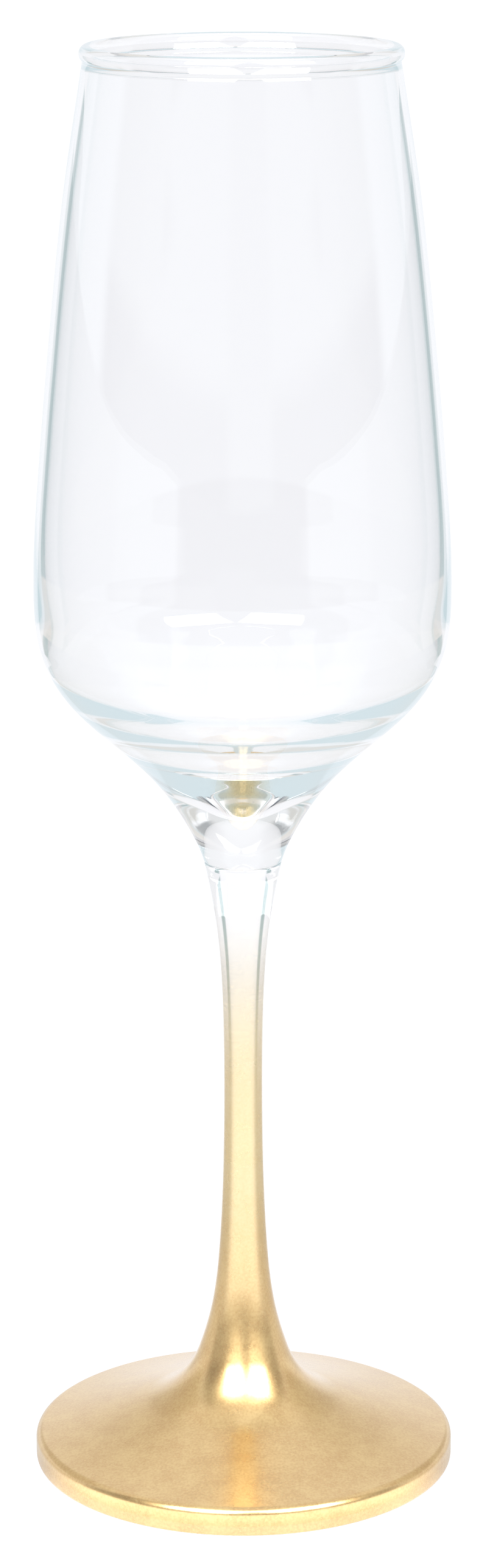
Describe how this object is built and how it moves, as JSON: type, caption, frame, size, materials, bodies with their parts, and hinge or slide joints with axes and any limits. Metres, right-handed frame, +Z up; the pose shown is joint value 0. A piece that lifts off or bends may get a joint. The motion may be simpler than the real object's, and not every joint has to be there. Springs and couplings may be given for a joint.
{
  "type": "champagne flute",
  "caption": "Stemmed champagne flute: clear blown bowl with a beaded mouth, fused to a slender stem and round foot under a satin gold film that fades out at the weld.",
  "frame": {"origin": "centre of the resting ring under the foot, on the surface that the flute stands on", "axes": "+Z up along the axis of revolution, towards the mouth; +X and +Y are equal, because the object is round"},
  "size_m": [0.0668, 0.0668, 0.225],
  "materials": {
    "bowl_glass": "clear soda-lime glass, fire polished",
    "stem_glass": "clear soda-lime glass, fire polished",
    "foot_glass": "clear soda-lime glass, fire polished",
    "gold_film": "satin gold lacquer, sprayed, fading out at the top of the stem"
  },
  "bodies": {
    "root": {"bowl": "bowl_glass", "stem": "stem_glass", "foot": "foot_glass", "gold_film": "gold_film"}
  },
  "joints": []
}
